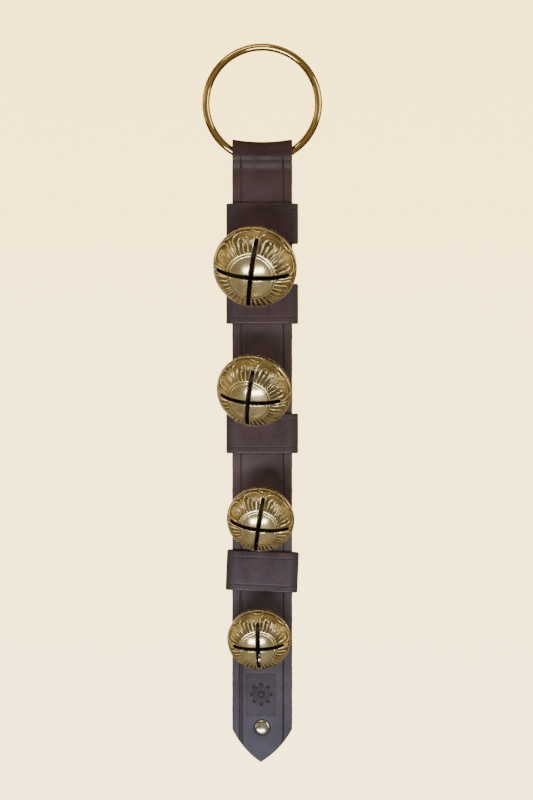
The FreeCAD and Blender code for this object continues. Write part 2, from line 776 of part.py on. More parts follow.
for item in document.Objects:
    if "Invalid" in item.State or "Error" in item.State:
        raise RuntimeError("%s (%s) failed: %s" % (item.Name, item.Label, item.State))
for item in sub_parts:
    if item.Shape.isNull() or not item.Shape.isValid():
        raise RuntimeError(item.Label + " has no valid shape")

os.makedirs("parts", exist_ok=True)
for item in sub_parts:
    item.Shape.exportStep("parts/%s.step" % item.Label)
    box = item.Shape.BoundBox
    corners = (box.XMin, box.XMax, box.YMin, box.YMax, box.ZMin, box.ZMax)
    rounded = [round(value, 2) for value in corners]
    print(item.Label, len(item.Shape.Solids), round(item.Shape.Volume), *rounded)
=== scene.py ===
import json
import math

import bmesh
import bpy
import numpy as np
from mathutils import Matrix, Vector


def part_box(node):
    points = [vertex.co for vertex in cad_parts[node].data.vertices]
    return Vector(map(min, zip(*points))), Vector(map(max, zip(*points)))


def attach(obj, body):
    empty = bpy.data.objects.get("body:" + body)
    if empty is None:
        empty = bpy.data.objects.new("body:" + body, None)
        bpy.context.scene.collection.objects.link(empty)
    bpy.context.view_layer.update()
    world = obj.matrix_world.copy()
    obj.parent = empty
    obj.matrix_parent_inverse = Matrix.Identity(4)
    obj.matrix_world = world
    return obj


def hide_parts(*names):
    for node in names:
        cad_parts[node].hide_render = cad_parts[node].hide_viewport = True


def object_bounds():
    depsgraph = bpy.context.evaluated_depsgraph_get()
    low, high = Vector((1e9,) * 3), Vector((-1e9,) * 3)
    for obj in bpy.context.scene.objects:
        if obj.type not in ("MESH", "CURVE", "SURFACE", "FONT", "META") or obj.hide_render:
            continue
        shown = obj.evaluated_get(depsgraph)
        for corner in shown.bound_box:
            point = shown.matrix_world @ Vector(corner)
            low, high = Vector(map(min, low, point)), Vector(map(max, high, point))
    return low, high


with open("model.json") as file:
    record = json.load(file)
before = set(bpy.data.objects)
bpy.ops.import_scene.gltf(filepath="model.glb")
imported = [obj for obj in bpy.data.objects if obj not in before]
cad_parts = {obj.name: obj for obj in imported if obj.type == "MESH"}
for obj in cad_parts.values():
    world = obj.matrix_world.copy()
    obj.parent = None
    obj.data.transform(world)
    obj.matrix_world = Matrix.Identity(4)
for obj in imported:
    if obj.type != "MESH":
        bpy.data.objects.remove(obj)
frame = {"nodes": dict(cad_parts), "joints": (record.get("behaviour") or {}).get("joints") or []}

cad_low, cad_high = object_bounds()

MM = 0.001
BELLS = (1, 2, 3, 4)
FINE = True

joints = {joint["name"]: joint for joint in frame["joints"]}

# Leather, in millimetres
LEATHER = 3.2
FOLD_INNER_RADIUS = 5.6
NECK_RADIUS = 14.0
LAYER_SPACING = 8.4
TIP_GAP = 0.2
BACK_BEND_DROP = 377.0
BACK_BEND_RADIUS = 30.0
SHOULDER_RISE = 21.1
TIP_OFFSET = -1.0
TIP_EDGE_RADIUS = 55.0
CREASE_INSET = 5.7
CREASE_DEPTH = 0.42
CREASE_WIDTH = 0.42
ROSETTE_DEPTH = 0.42
EDGE_ROUNDING = 0.9
KEEPER_LEATHER = 2.6
KEEPER_CORNER = 3.8
KEEPER_JOINT_GAP = 0.4
KEEPER_CREASE_INSET = 4.0
KEEPER_CREASE = 0.09
KEEPER_CROWN = 0.1
KEEPER_WAVE = 0.05
KEEPER_TURN = {1: 0.0, 2: 0.0, 3: 0.0, 4: 2.4}
KEEPER_RAW_EDGE = {1: 0.3, 2: 0.55, 3: 0.55, 4: 0.8}

# Bells, in millimetres and degrees
BELL_WALL = 2.2
SLOT_REACH = {1: 0.87, 2: 0.81, 3: 0.88, 4: 0.79}
SLOT_WIDTH = {1: 2.8, 2: 2.7, 3: 2.5, 4: 2.4}
SLOT_TURN = {1: -11.0, 2: -18.5, 3: -5.2, 4: -8.3}
SLOT_SKEW = {1: 5.0, 2: 5.5, 3: 2.0, 4: 1.0}
NECK = 2.5
COLLAR = 4.6
COLLAR_HEIGHT = 2.4
EYE = 2.8
EYE_HOLE = 1.35

# The cast pattern's height and line width, as parts of a bell's radius
RELIEF_HEIGHT = 0.014
RELIEF_LINE = 0.0130

# Further than any distance on the object, in millimetres
FAR = 1e3


def corners_mm(node):
    """A CAD node's lowest and highest corners, in millimetres."""
    low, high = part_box(node)
    return np.array(low) / MM, np.array(high) / MM


# ---------------------------------------------------------------- materials


class Paint:
    """A material and short ways to add nodes to it."""

    def __init__(self, name):
        self.material = bpy.data.materials.new(name)
        self.material.use_nodes = True
        self.tree = self.material.node_tree
        self.shader = self.tree.nodes["Principled BSDF"]

    def add(self, kind, **settings):
        node = self.tree.nodes.new(kind)
        for name, value in settings.items():
            if hasattr(node, name):
                setattr(node, name, value)
            else:
                node.inputs[name.replace("_", " ")].default_value = value
        return node

    def link(self, source, target):
        self.tree.links.new(source, target)

    def place(self):
        return self.add("ShaderNodeTexCoord").outputs["Object"]

    def noise(self, scale, detail=4.0, rough=0.55, stretch=None):
        node = self.add("ShaderNodeTexNoise", Scale=scale, Detail=detail, Roughness=rough)
        source = self.place()
        if stretch:
            mapping = self.add("ShaderNodeMapping")
            mapping.inputs["Scale"].default_value = stretch
            self.link(source, mapping.inputs["Vector"])
            source = mapping.outputs["Vector"]
        self.link(source, node.inputs["Vector"])
        return node.outputs["Fac"]

    def cells(self, scale):
        node = self.add("ShaderNodeTexVoronoi", Scale=scale)
        self.link(self.place(), node.inputs["Vector"])
        return node.outputs["Distance"]

    def attribute(self, name):
        return self.add("ShaderNodeAttribute", attribute_name=name).outputs["Fac"]

    def ramp(self, source, *stops):
        """Colours or greys along a value: (position, colour or grey) pairs."""
        node = self.add("ShaderNodeValToRGB")
        elements = node.color_ramp.elements
        while len(elements) < len(stops):
            elements.new(0.5)
        for element, (position, value) in zip(elements, stops):
            element.position = position
            element.color = (*value, 1) if isinstance(value, tuple) else (value, value, value, 1)
        self.link(source, node.inputs["Fac"])
        return node.outputs["Color"]

    def mix(self, amount, first, second, blend="MIX"):
        """Mix two colours; each may be a socket or a plain colour, the amount a socket or number."""
        node = self.add("ShaderNodeMix", data_type="RGBA", blend_type=blend)
        slots = (node.inputs[0], node.inputs[6], node.inputs[7])
        for slot, value in zip(slots, (amount, first, second)):
            if isinstance(value, bpy.types.NodeSocket):
                self.link(value, slot)
            else:
                slot.default_value = (*value, 1) if isinstance(value, tuple) else value
        return node.outputs[2]

    def scalar(self, operation, first, second):
        node = self.add("ShaderNodeMath", operation=operation)
        for slot, value in zip(node.inputs, (first, second)):
            if isinstance(value, bpy.types.NodeSocket):
                self.link(value, slot)
            else:
                slot.default_value = value
        return node.outputs[0]

    def bump(self, height, distance, strength=1.0, below=None):
        node = self.add("ShaderNodeBump", Strength=strength, Distance=distance)
        self.link(height, node.inputs["Height"])
        if below:
            self.link(below, node.inputs["Normal"])
        return node.outputs["Normal"]

    def set(self, **values):
        """Set shader sockets: links for sockets, plain values otherwise."""
        for name, value in values.items():
            slot = self.shader.inputs[name.replace("_", " ")]
            if isinstance(value, bpy.types.NodeSocket):
                self.link(value, slot)
            else:
                slot.default_value = (*value, 1) if isinstance(value, tuple) else value
        return self.material


# Painted light along the leather from the fold (0) down to the tip (1): painted shade near the fold,
# painted cool reflected light low down
PAINTED_LIGHT_BY_DEPTH = (
    (0.15, (0.46, 0.31, 0.28)),
    (0.24, (1.0, 0.97, 0.98)),
    (0.6, (1.05, 1.06, 1.10)),
    (1.0, (0.72, 1.06, 1.5)),
)


def leather_material(name, dark, light, raw, smooth, rough, shine):
    """Dark waxed leather: fine grain, cloudy dyeing, painted shade near the fold, painted cool light low
    down, painted shade in the grooves, and raw cut edges.
    """
    paint = Paint(name)
    clouds = paint.noise(38, 6, 0.6)
    dye_and_light = paint.ramp(clouds, (0.3, dark), (0.72, light))
    parts = paint.add("ShaderNodeSeparateXYZ")
    paint.link(paint.place(), parts.inputs["Vector"])
    depth = paint.scalar("DIVIDE", parts.outputs["Z"], cad_low[2])
    # Painted light by height: painted shade near the fold, painted cool reflected light low down
    painted_light = paint.ramp(depth, *PAINTED_LIGHT_BY_DEPTH)
    dye_and_light = paint.mix(1.0, dye_and_light, painted_light, "MULTIPLY")
    fibres = paint.noise(900, 3, 0.6, stretch=(1, 1, 0.35))
    raw_colour = paint.mix(fibres, tuple(channel * 0.45 for channel in raw), raw)
    edge = paint.attribute("raw")
    ragged = paint.scalar("MULTIPLY", edge, paint.ramp(paint.noise(260, 4), (0.28, 0.25), (0.62, 1.0)))
    colour = paint.mix(ragged, dye_and_light, raw_colour)
    groove_shade = paint.attribute("groove_shade")
    # Painted shade: the leather's colour is darkened where it is pressed in (creases, stamp, round the
    # rivet) and at the keepers' bends
    colour = paint.mix(groove_shade, colour, tuple(channel * 0.45 for channel in dark))
    grain = paint.bump(paint.cells(1500), 0.00006, 0.5)
    pores = paint.bump(paint.noise(700, 5, 0.7), 0.00010, 0.6, below=grain)
    waves = paint.bump(paint.noise(60, 3), 0.00035, 0.5, below=pores)
    rough = paint.ramp(paint.noise(120, 5), (0.3, smooth), (0.75, rough))
    rough = paint.mix(edge, rough, (0.85, 0.85, 0.85))
    rough = paint.mix(groove_shade, rough, (0.8, 0.8, 0.8))
    paint.set(Base_Color=colour, Normal=waves, Roughness=rough)
    paint.set(Sheen_Weight=0.06, Sheen_Roughness=0.35, Sheen_Tint=(0.85, 0.62, 0.95))
    return paint.set(Specular_IOR_Level=shine)


# A little under full metal, for the dull film on handled brass
BELL_METALLIC = 0.88


def bell_material():
    """Cast brass: bright on the raised lines and the face, brown patina in the recesses, and painted shade
    in the hollow.
    """
    paint = Paint("cast_brass")
    relief = paint.attribute("relief")
    inside = paint.attribute("inside")
    clouds = paint.noise(70, 5, 0.65)
    metal = paint.ramp(clouds, (0.3, (0.76, 0.62, 0.29)), (0.7, (0.92, 0.80, 0.48)))
    patina = paint.ramp(paint.noise(160, 5, 0.7), (0.3, (0.20, 0.145, 0.06)), (0.75, (0.50, 0.40, 0.19)))
    wear_and_shade = paint.ramp(relief, (0.12, 0.0), (0.62, 1.0))
    colour = paint.mix(wear_and_shade, patina, metal)
    # Painted shade: the hollow and the deeper part of the slot walls are painted dark
    colour = paint.mix(inside, colour, (0.14, 0.10, 0.055))
    rough = paint.ramp(relief, (0.1, 0.24), (0.7, 0.15))
    rough = paint.mix(inside, rough, (0.7, 0.7, 0.7))
    pits = paint.bump(paint.noise(1400, 4, 0.6), 0.00005, 0.25)
    streaks = paint.bump(paint.noise(420, 3, 0.6, stretch=(0.1, 1, 1)), 0.00008, 0.3, below=pits)
    cast = paint.bump(paint.noise(240, 3), 0.00010, 0.2, below=streaks)
    return paint.set(Base_Color=colour, Roughness=rough, Metallic=BELL_METALLIC, Normal=cast)


def metal_material(name, dark, light, smooth, rough, scratch=0.25, scale=300, side_shade=False):
    """Plain metal with slight staining and hairline scratches; on request, painted shade along the marked
    sides of a wire.
    """
    paint = Paint(name)
    colour = paint.ramp(paint.noise(scale * 0.3, 5), (0.32, dark), (0.7, light))
    if side_shade:
        # Painted shade: the sides of the wire are darkened, standing in for the dark reflections along its
        # edges
        shaded_sides = paint.ramp(paint.attribute("side_shade"), (0.45, 0.0), (0.80, 0.95))
        colour = paint.mix(shaded_sides, colour, (0.17, 0.075, 0.013))
    roughness = paint.ramp(paint.noise(scale, 4), (0.3, smooth), (0.75, rough))
    normal = paint.bump(paint.noise(scale * 4, 3, 0.6), 0.00004, scratch)
    return paint.set(Base_Color=colour, Roughness=roughness, Metallic=1.0, Normal=normal)


strap_leather = leather_material(
    "strap_leather", (0.066, 0.038, 0.038), (0.126, 0.083, 0.090), (0.17, 0.050, 0.026), 0.40, 0.54, 0.35
)
keeper_leather = leather_material(
    "keeper_leather", (0.052, 0.028, 0.030), (0.100, 0.055, 0.066), (0.20, 0.070, 0.042), 0.25, 0.38, 0.5
)
cast_brass = bell_material()
ring_brass = metal_material(
    "ring_brass", (0.80, 0.53, 0.17), (0.93, 0.69, 0.28), 0.05, 0.10, scratch=0.08, side_shade=True
)
washer_brass = metal_material("washer_brass", (0.50, 0.35, 0.14), (0.72, 0.53, 0.24), 0.3, 0.5)
bright_steel = metal_material("ball_steel", (0.50, 0.50, 0.51), (0.72, 0.72, 0.73), 0.1, 0.25)
wire_steel = metal_material("wire_steel", (0.38, 0.37, 0.35), (0.60, 0.59, 0.57), 0.25, 0.45)
rivet_brass = metal_material("rivet_brass", (0.70, 0.62, 0.44), (0.86, 0.79, 0.60), 0.12, 0.26)


# ------------------------------------------------------------ mesh helpers


def new_piece(name, vertices, faces, material, smooth=True, sharp_angle=38):
    """A mesh object from millimetre points, with its material and shading."""
    mesh = bpy.data.meshes.new(name)
    mesh.from_pydata((np.asarray(vertices) * MM).tolist(), [], faces)
    mesh.validate()
    mesh.materials.append(material)
    piece = bpy.data.objects.new(name, mesh)
    bpy.context.scene.collection.objects.link(piece)
    if smooth:
        shade(piece, sharp_angle)
    return piece


def shade(piece, sharp_angle=38):
    mesh = piece.data
    mesh.polygons.foreach_set("use_smooth", [True] * len(mesh.polygons))
    mesh.set_sharp_from_angle(angle=math.radians(sharp_angle))
    mesh.update()


def points_mm(piece):
    """The mesh's vertices in millimetres."""
    count = len(piece.data.vertices)
    flat = np.empty(count * 3)
    piece.data.vertices.foreach_get("co", flat)
    return flat.reshape(-1, 3) / MM


def tag(piece, name, values):
    """Store one number per vertex for the material to read."""
    layer = piece.data.attributes.new(name, "FLOAT", "POINT")
    layer.data.foreach_set("value", np.clip(values, 0, 1).astype(float))


def tube_faces(rows, columns, closed=False, start=0):
    """Quads of a grid whose columns run round; closed joins the last row to the first."""
    faces = []
    for row in range(rows if closed else rows - 1):
        below = start + (row + 1) % rows * columns
        here = start + row * columns
        for column in range(columns):
            across = (column + 1) % columns
            faces.append((here + column, here + across, below + across, below + column))
    return faces


def sweep(sections, closed=False):
    """Join equal rings of points into a skin, with end caps unless it is closed."""
    rows, columns = len(sections), len(sections[0])
    vertices = np.concatenate(sections)
    faces = tube_faces(rows, columns, closed)
    if not closed:
        faces.append(tuple(reversed(range(columns))))
        faces.append(tuple(range((rows - 1) * columns, rows * columns)))
    return vertices, faces


def lathe(profile, count, flip=False):
    """Turn (radius, height) points about Z; the first and last lie on the axis."""
    angles = np.arange(count) * 2 * math.pi / count
    rings = [
        np.stack([radius * np.cos(angles), radius * np.sin(angles), np.full(count, height)], 1)
        for radius, height in profile[1:-1]
    ]
    body = np.concatenate(rings)
    vertices = np.concatenate([body, [[0, 0, profile[0][1]], [0, 0, profile[-1][1]]]])
    faces = tube_faces(len(rings), count)
    first, last = len(body), len(body) + 1
    end = (len(rings) - 1) * count
    for column in range(count):
        across = (column + 1) % count
        faces.append((first, across, column))
        faces.append((last, end + column, end + across))
    if flip:
        faces = [tuple(reversed(face)) for face in faces]
    return vertices, faces


def join_meshes(*parts):
    """Put several (vertices, faces) sets into one."""
    vertices, faces, start = [], [], 0
    for points, quads in parts:
        vertices.append(points)
        faces += [tuple(index + start for index in face) for face in quads]
        start += len(points)
    return np.concatenate(vertices), faces


def prism(outline, low, high):
    """An outline in the XY plane made into a closed solid along Z."""
    count = len(outline)
    turns = sum(a[0] * b[1] - b[0] * a[1] for a, b in zip(outline, outline[1:] + outline[:1]))
    if turns < 0:
        outline = outline[::-1]
    bottom = np.array([(x, y, low) for x, y in outline])
    top = np.array([(x, y, high) for x, y in outline])
    faces = [(i, (i + 1) % count, count + (i + 1) % count, count + i) for i in range(count)]
    faces.append(tuple(reversed(range(count))))
    faces.append(tuple(range(count, 2 * count)))
    return np.concatenate([bottom, top]), faces


def circle(radius, count, centre=(0.0, 0.0)):
    turns = np.arange(count) * 2 * math.pi / count
    return [(centre[0] + radius * math.cos(turn), centre[1] + radius * math.sin(turn)) for turn in turns]


def cut(piece, cutter_parts):
    """Take closed shapes away from a piece, exactly."""
    vertices, faces = join_meshes(*cutter_parts)
    cutter = new_piece("cutter", vertices, faces, piece.data.materials[0], smooth=False)
    modifier = piece.modifiers.new("cut", "BOOLEAN")
    modifier.operation = "DIFFERENCE"
    modifier.solver = "EXACT"
    modifier.object = cutter
    graph = bpy.context.evaluated_depsgraph_get()
    result = bpy.data.meshes.new_from_object(piece.evaluated_get(graph))
    piece.modifiers.clear()
    old = piece.data
    piece.data = result
    bpy.data.meshes.remove(old)
    spare = cutter.data
    bpy.data.objects.remove(cutter)
    bpy.data.meshes.remove(spare)
    tidy = bmesh.new()
    tidy.from_mesh(result)
    bmesh.ops.dissolve_degenerate(tidy, dist=1e-7, edges=tidy.edges)
    tidy.to_mesh(result)
    tidy.free()
    return piece


def bell_curve(distance, width):
    """1 on a line, falling smoothly to 0 away from it."""
    return np.exp(-((distance / width) ** 2))


def smooth_step(value, start, end):
    amount = np.clip((value - start) / (end - start), 0, 1)
    return amount * amount * (3 - 2 * amount)


def ripple(value, seed):
    """A gentle irregular wave between about -1 and 1."""
    total = 0.0
    for index, weight in enumerate((0.5, 0.3, 0.2)):
        total = total + weight * np.sin(value * (0.9 + 1.3 * index) + seed * (1.7 + index))
    return total


# -------------------------------------------------------------------- ring


def make_ring():
    """The brass ring: round wire with the faint flat of its brazed joint."""
    low, high = corners_mm("hanging_ring")
    wire = (high[1] - low[1]) / 2
    radius = (high[0] - low[0]) / 2 - wire
    centre = (low[2] + high[2]) / 2
    around, across = (256, 40) if FINE else (128, 20)
    turns = np.arange(across) * 2 * math.pi / across
    joint_angle = math.radians(-96)
    sections = []
    for step in range(around):
        angle = step * 2 * math.pi / around
        away = (angle - joint_angle + math.pi) % (2 * math.pi) - math.pi
        thin = wire * (1 - 0.02 * math.exp(-((away * radius / 0.8) ** 2)))
        reach = radius + thin * np.cos(turns)
        height = centre + reach * math.sin(angle)
        sections.append(np.stack([reach * math.cos(angle), thin * np.sin(turns), height], 1))
    vertices, faces = sweep(sections, closed=True)
    ring = new_piece("hanging_ring_wire", vertices, faces, ring_brass, sharp_angle=60)
    # Marks the sides of the wire, which the ring's colour darkens as painted shade
    tag(ring, "side_shade", np.tile(np.abs(np.cos(turns)), around))
    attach(ring, "hanging_ring")
    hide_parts("hanging_ring")


# ------------------------------------------------------------------- strap

STRAP_NODES = ("strap_fold", "strap_front", "strap_back")
strap_low = np.min([corners_mm(node)[0] for node in STRAP_NODES], axis=0)
strap_high = np.max([corners_mm(node)[1] for node in STRAP_NODES], axis=0)
strap_half = (strap_high[0] - strap_low[0]) / 2
tip_height = strap_low[2]
shoulder_height = tip_height + SHOULDER_RISE
fold_height = joints["strap_swing"]["pos_m"][2] / MM
rivet_low, rivet_high = corners_mm("tip_rivet_cap")
rivet_height = (rivet_low[2] + rivet_high[2]) / 2
rivet_rim = (rivet_high[0] - rivet_low[0]) / 2 + 0.2
stamp_centre = (-0.6, rivet_height + 20.9)
STAMP_HALF = (9.0, 13.0)


def strap_line(step, stamp_step):
    """Points and directions along the middle of the leather: up the front, round, down the back."""
    half = LAYER_SPACING / 2
    fold = FOLD_INNER_RADIUS + LEATHER / 2
    tip_back = -half + LEATHER + TIP_GAP
    neck_end = fold_height - math.sqrt((fold + NECK_RADIUS) ** 2 - (half + NECK_RADIUS) ** 2)
    meeting = math.atan2(fold_height - neck_end, half + NECK_RADIUS)
    turn = math.acos(1 - (half - tip_back) / 2 / BACK_BEND_RADIUS)
    bend_top = -BACK_BEND_DROP
    bend_end = bend_top - 2 * BACK_BEND_RADIUS * math.sin(turn)
    stations = []

    def straight(depth, start, stop, spacing):
        count = max(1, round(abs(stop - start) / spacing))
        way = 1 if stop > start else -1
        for index in range(count):
            stations.append((depth, start + (stop - start) * index / count, 0.0, way))

    def bend(centre, radius, start, stop, spacing):
        """An arc from one angle to another, in (depth, height)."""
        count = max(3, round(radius * abs(stop - start) / spacing))
        way = 1 if stop > start else -1
        for index in range(count):
            angle = start + (stop - start) * index / count
            place = (centre[0] + radius * math.cos(angle), centre[1] + radius * math.sin(angle))
            stations.append((*place, -math.sin(angle) * way, math.cos(angle) * way))

    stamp_top = stamp_centre[1] + STAMP_HALF[1] + 2
    straight(-half, tip_height, stamp_top, stamp_step)
    straight(-half, stamp_top, neck_end, step)
    bend((-half - NECK_RADIUS, neck_end), NECK_RADIUS, 0, meeting, 0.8)
    bend((0, fold_height), fold, math.pi + meeting, -meeting, 0.5)
    bend((half + NECK_RADIUS, neck_end), NECK_RADIUS, math.pi - meeting, math.pi, 0.8)
    straight(half, neck_end, bend_top, step * 2)
    bend((half - BACK_BEND_RADIUS, bend_top), BACK_BEND_RADIUS, 0, -turn, 1.0)
    bend((tip_back + BACK_BEND_RADIUS, bend_end), BACK_BEND_RADIUS, math.pi - turn, math.pi, 1.0)
    straight(tip_back, bend_end, tip_height, stamp_step)
    stations.append((tip_back, tip_height, 0.0, -1))
    return stations


def strip_section(half_width, thickness, fine_half, fine_step, step):
    """A leather strip's cross-section with softly rounded edges: (across, outward) points."""
    corner = thickness * 0.3
    inner = half_width - corner
    outer_side = list(np.arange(-inner, -fine_half, step))
    outer_side += list(np.arange(-fine_half, fine_half, fine_step))
    outer_side += list(np.arange(fine_half, inner, step)) + [inner]
    top = [(x, thickness / 2) for x in outer_side]
    quarter = [math.pi / 2 * index / 5 for index in range(1, 6)]
    for angle in quarter:
        top.append((inner + corner * math.sin(angle), thickness / 2 - corner + corner * math.cos(angle)))
    for angle in quarter:
        top.append((inner + corner * math.cos(angle), -thickness / 2 + corner - corner * math.sin(angle)))
    back_count = 12
    top += [(inner - 2 * inner * index / back_count, -thickness / 2) for index in range(1, back_count + 1)]
    for angle in quarter:
        top.append((-inner - corner * math.sin(angle), -thickness / 2 + corner - corner * math.cos(angle)))
    for angle in quarter[:-1]:
        top.append((-inner - corner * math.cos(angle), thickness / 2 - corner + corner * math.sin(angle)))
    return np.array(top)


def tip_arc(side):
    """The ends of one curved edge of the tip, and the centre of its arc."""
    shoulder = Vector((side * strap_half, shoulder_height))
    tip = Vector((TIP_OFFSET, tip_height))
    chord = shoulder - tip
    inward = Vector((-chord.y, chord.x)).normalized() * side
    centre = (shoulder + tip) / 2 + inward * math.sqrt(TIP_EDGE_RADIUS**2 - (chord.length / 2) ** 2)
    return shoulder, tip, centre


def tip_edge_distance(across, height):
    """How far a point is inside the pointed outline of the tip, in millimetres."""
    best = np.full(np.shape(across), FAR)
    for side in (-1, 1):
        centre = tip_arc(side)[2]
        reach = np.hypot(across - centre.x, height - centre.y)
        best = np.minimum(best, TIP_EDGE_RADIUS - reach)
    return np.where(height > shoulder_height, FAR, best)


def rosette(across, height):
    """A generic eight-petalled rosette pressed into the leather: 1 at its deepest."""
    x, y = across - stamp_centre[0], height - stamp_centre[1]
    reach, angle = np.hypot(x, y), np.arctan2(y, x)
    petal = 6.6 * np.abs(np.cos(4 * angle)) ** 0.6
    outline = bell_curve(reach - petal, 0.6) * (reach > 1.6)
    heart = bell_curve(reach - 1.7, 0.45)
    veins = bell_curve(reach * np.sin(((angle + math.pi / 8) % (math.pi / 4)) - math.pi / 8), 0.3)
    veins = veins * smooth_step(reach, 2.2, 3.0) * (1 - smooth_step(reach, 4.6, 5.6))
    return np.clip(outline + heart + 0.6 * veins, 0, 1)


def stamp_depth(across, height):
    """The rosette and the faint sunk rectangle round it, in millimetres."""
    x, y = np.abs(across - stamp_centre[0]), np.abs(height - stamp_centre[1])
    outside = np.maximum(x - STAMP_HALF[0], y - STAMP_HALF[1])
    frame_line = bell_curve(outside, 0.5) * 0.15
    floor = (1 - smooth_step(outside, -1.2, 0.3)) * 0.10
    return frame_line + floor + rosette(across, height) * ROSETTE_DEPTH


def crease_depth(across, height):
    """The lines creased along both edges of the strap; the left one doubles low down."""
    line = strap_half - CREASE_INSET
    right = bell_curve(across - line, CREASE_WIDTH)
    doubled = 1 - smooth_step(height, -352, -338)
    left = bell_curve(across + line + 0.8 * doubled, CREASE_WIDTH)
    second = bell_curve(across + line - 0.7, 0.36) * doubled
    return CREASE_DEPTH * np.maximum(np.maximum(left, right), second)


def make_strap():
    """The folded strap, creased, stamped, pointed and pierced."""
    fine = 0.42 if FINE else 1.2
    stations = strap_line(1.6 if FINE else 4.0, fine)
    section = strip_section(strap_half, LEATHER, STAMP_HALF[0] + 2.5, fine, 0.35 if FINE else 0.9)
    across, outward = section[:, 0], section[:, 1]
    on_face = smooth_step(outward, LEATHER / 2 - 0.35, LEATHER / 2 - 0.05)
    saddle = (across / strap_half) ** 2 * 1.7 - 0.5
    sections, groove_shades = [], []
    for depth, height, along_y, along_z in stations:
        normal = (-along_z, along_y)
        front = along_z > 0.5 and depth < 0
        press = crease_depth(across, height) * (1 if front else 0.8)
        press = press * (1 - smooth_step(height, fold_height - 8, fold_height + 2) * 0.85)
        if front:
            from_rivet = np.hypot(across, height - rivet_height)
            press = np.maximum(press, stamp_depth(across, height))
            # A shallow dip round the rivet, which the leather's colour also darkens as a painted shadow
            press = np.maximum(press, 0.3 * bell_curve(from_rivet - rivet_rim, 0.55))
        to_edge = EDGE_ROUNDING - np.clip(tip_edge_distance(across, height), 0, EDGE_ROUNDING)
        rounding = EDGE_ROUNDING - np.sqrt(np.maximum(0, EDGE_ROUNDING**2 - to_edge**2))
        pinch = 1 - rounding / (LEATHER / 2)
        lift = outward * pinch - press * on_face
        wave = 0.10 * ripple(height * 0.11 + across * 0.05, 2.0) * (1 if abs(height) > 95 else 0)
        edge_wave = 0.10 * ripple(height * 0.35, 1.0 if front else 4.0)
        x = across * (1 + edge_wave / strap_half)
        y = depth + normal[0] * lift + wave * (0 if height < shoulder_height + 6 else 1) * 0.5
        fold_amount = smooth_step(height, fold_height - 4, fold_height + 5)
        z = height + normal[1] * lift + saddle * fold_amount
        sections.append(np.stack([x, y, z], 1))
        # The pressed lines, stamp and rivet dip, as a mask for painted shade in the leather's colour and
        # for its roughness
        groove_shades.append(np.clip(press / CREASE_DEPTH, 0, 1) * on_face)
    vertices, faces = sweep(sections)
    strap = new_piece("folded_strap", vertices, faces, strap_leather)
    tag(strap, "groove_shade", np.concatenate(groove_shades))

    upright = np.array(((1, 0, 0), (0, 0, 1), (0, -1, 0)))
    in_front = LAYER_SPACING / 2 + LEATHER + 4

    def pierce(outline, start):
        """Cut an outline, drawn as seen from the front, from a depth out through the front."""
        points, quads = prism(outline, start, in_front)
        cut(strap, [(points @ upright, quads)])

    for number in BELLS:
        eye = np.array(joints["bell_%d_spin" % number]["pos_m"]) / MM
        pierce(circle(shank_hole_radius(number), 48, (eye[0], eye[2])), 0.0)
    pierce(circle(1.62, 32, (0, rivet_height)), -6)
    for side in (-1, 1):
        pierce(tip_corner(side), -6)
    finish_strap(strap)


def shank_hole_radius(number):
    """As wide as lets the resting shank lean on the hole's edge."""
    pole = Vector(joints["pellet_%d_roll" % number]["axis"])
    droop = math.asin(math.hypot(pole.x, pole.z))
    outer = LAYER_SPACING / 2 + LEATHER / 2 + joints["bell_%d_spin" % number]["pos_m"][1] / MM
    return outer * math.tan(droop) + NECK / math.cos(droop) + 0.25


def tip_corner(side):
    """The outline of the leather trimmed away beside the point."""
    shoulder, tip, centre = tip_arc(side)
    start = math.atan2(shoulder.y - centre.y, shoulder.x - centre.x)
    stop = math.atan2(tip.y - centre.y, tip.x - centre.x)
    turn = (stop - start + math.pi) % (2 * math.pi) - math.pi
    edge = []
    for index in range(25):
        angle = start + turn * index / 24
        x = centre.x + TIP_EDGE_RADIUS * math.cos(angle)
        y = centre.y + TIP_EDGE_RADIUS * math.sin(angle)
        edge.append((x, y))
    below, outside = tip_height - 5, side * 30
    return edge + [(TIP_OFFSET, below), (outside, below), (outside, shoulder_height)]


def finish_strap(strap):
    """Shade the strap and mark its raw edges."""
    points = points_mm(strap)
    side = smooth_step(np.abs(points[:, 0]), strap_half - 0.75, strap_half - 0.2)
    tip = (1 - smooth_step(tip_edge_distance(points[:, 0], points[:, 2]), 0.1, 0.5)) * 0.35
    low_down = 0.45 + 0.55 * (1 - smooth_step(points[:, 2], -330, -200))
    tag(strap, "raw", np.maximum(side * low_down, tip))
    shade(strap, 50)
    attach(strap, "strap")
    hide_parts(*STRAP_NODES)


# ----------------------------------------------------------------- keepers


